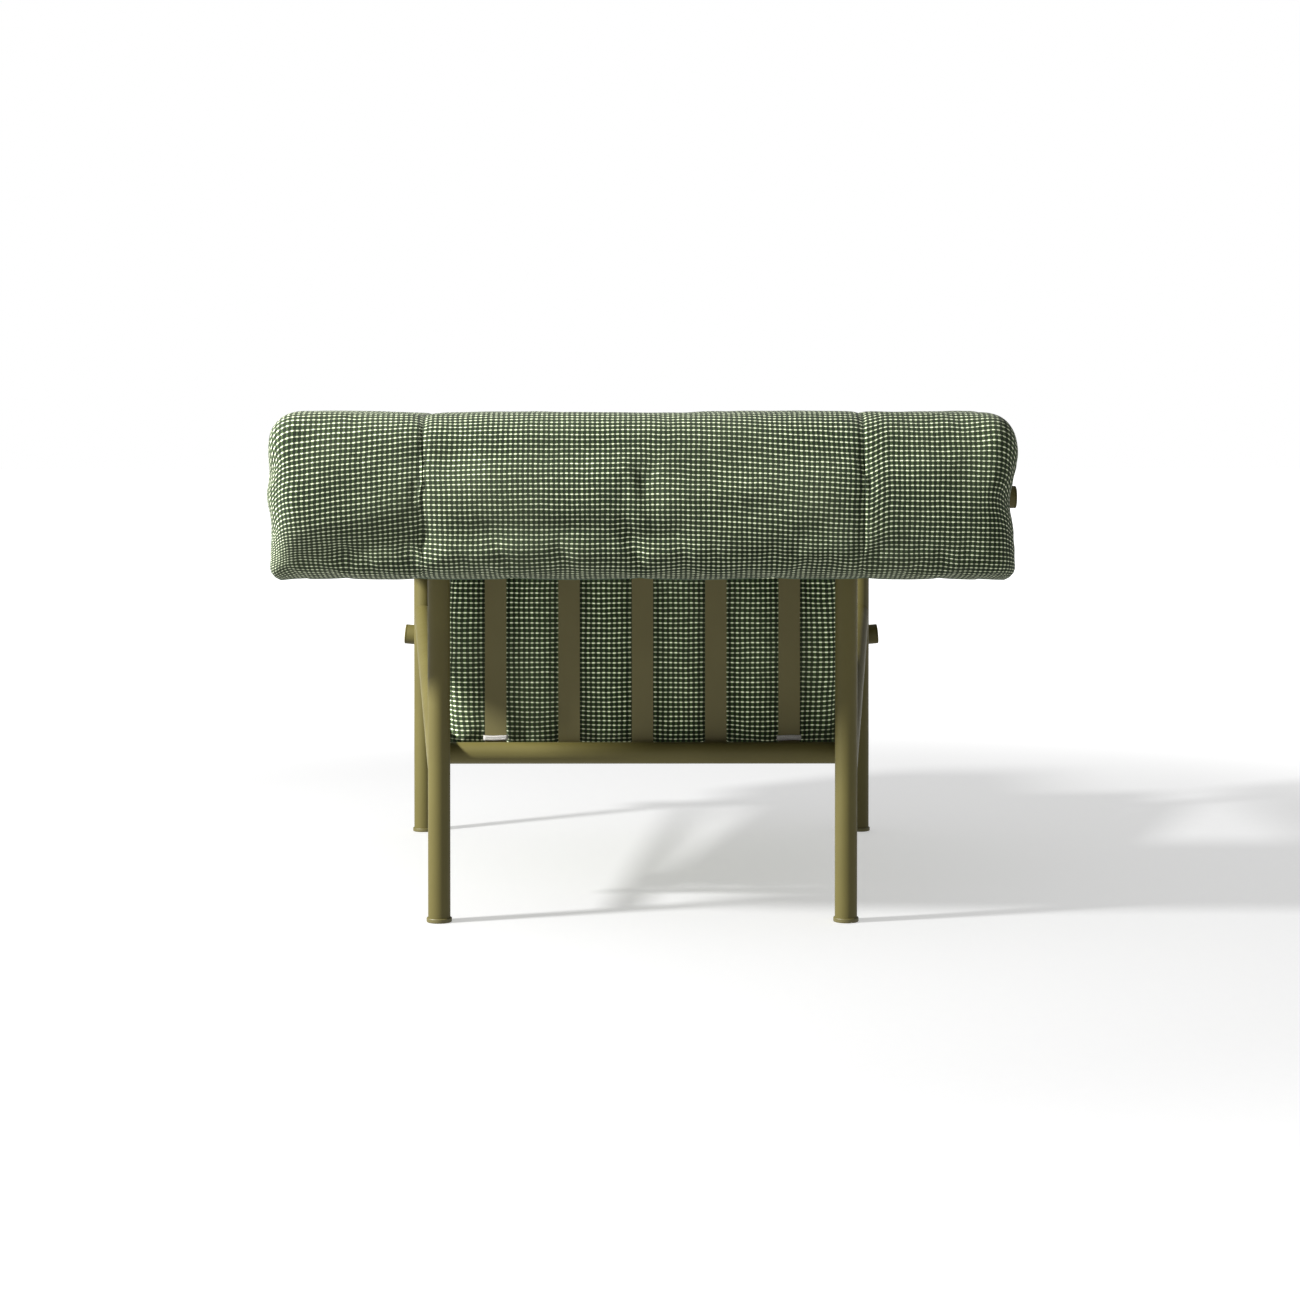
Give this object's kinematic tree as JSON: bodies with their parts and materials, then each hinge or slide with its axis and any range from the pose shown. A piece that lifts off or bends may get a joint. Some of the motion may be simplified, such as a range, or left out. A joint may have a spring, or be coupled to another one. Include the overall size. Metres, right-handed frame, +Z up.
{
  "type": "lounge armchair",
  "caption": "Low outdoor lounge armchair: painted tube frame, flat bent slats, padded quilts folded over back and arm rails, back cushion, loose seat cushion.",
  "frame": {"origin": "on the floor, under the middle of the chair's overall box", "axes": "+X to the right seen from behind, +Y the way the chair faces, +Z up"},
  "size_m": [1, 0.968, 0.684],
  "materials": {
    "frame_paint": "matte powder coat, olive",
    "slat_paint": "matte powder coat, olive",
    "cap_paint": "matte powder coat, olive",
    "foot_plastic": "satin moulded plastic, olive",
    "quilt_fabric": "coarse two-tone outdoor weave, dark green with cream dashes",
    "seat_fabric": "coarse two-tone outdoor weave, dark green with cream dashes",
    "webbing": "grey-white woven webbing"
  },
  "bodies": {
    "frame": {"arm_quilt_left": "quilt_fabric", "arm_quilt_right": "quilt_fabric", "arm_rail_cap_left": "cap_paint", "arm_rail_cap_right": "cap_paint", "arm_rail_left": "frame_paint", "arm_rail_right": "frame_paint", "back_cushion": "seat_fabric", "back_quilt": "quilt_fabric", "back_rail": "frame_paint", "front_bar": "frame_paint", "front_bar_cap_left": "cap_paint", "front_bar_cap_right": "cap_paint", "front_foot_left": "foot_plastic", "front_foot_right": "foot_plastic", "front_leg_left": "frame_paint", "front_leg_right": "frame_paint", "hem_strap_left": "webbing", "hem_strap_right": "webbing", "rear_cross_rail": "frame_paint", "rear_foot_left": "foot_plastic", "rear_foot_right": "foot_plastic", "rear_leg_left": "frame_paint", "rear_leg_right": "frame_paint", "side_rail_left": "frame_paint", "side_rail_right": "frame_paint", "slat_1": "slat_paint", "slat_2": "slat_paint", "slat_3": "slat_paint", "slat_4": "slat_paint", "slat_5": "slat_paint", "top_rail": "frame_paint", "top_rail_cap_left": "cap_paint", "top_rail_cap_right": "cap_paint"},
    "cushion": {"seat_cushion": "seat_fabric"}
  },
  "joints": [
    {"name": "seat_cushion_lift", "type": "slide", "parent": "frame", "child": "cushion", "axis": [0, 0, 1], "range_m": [0, 0.3]}
  ]
}
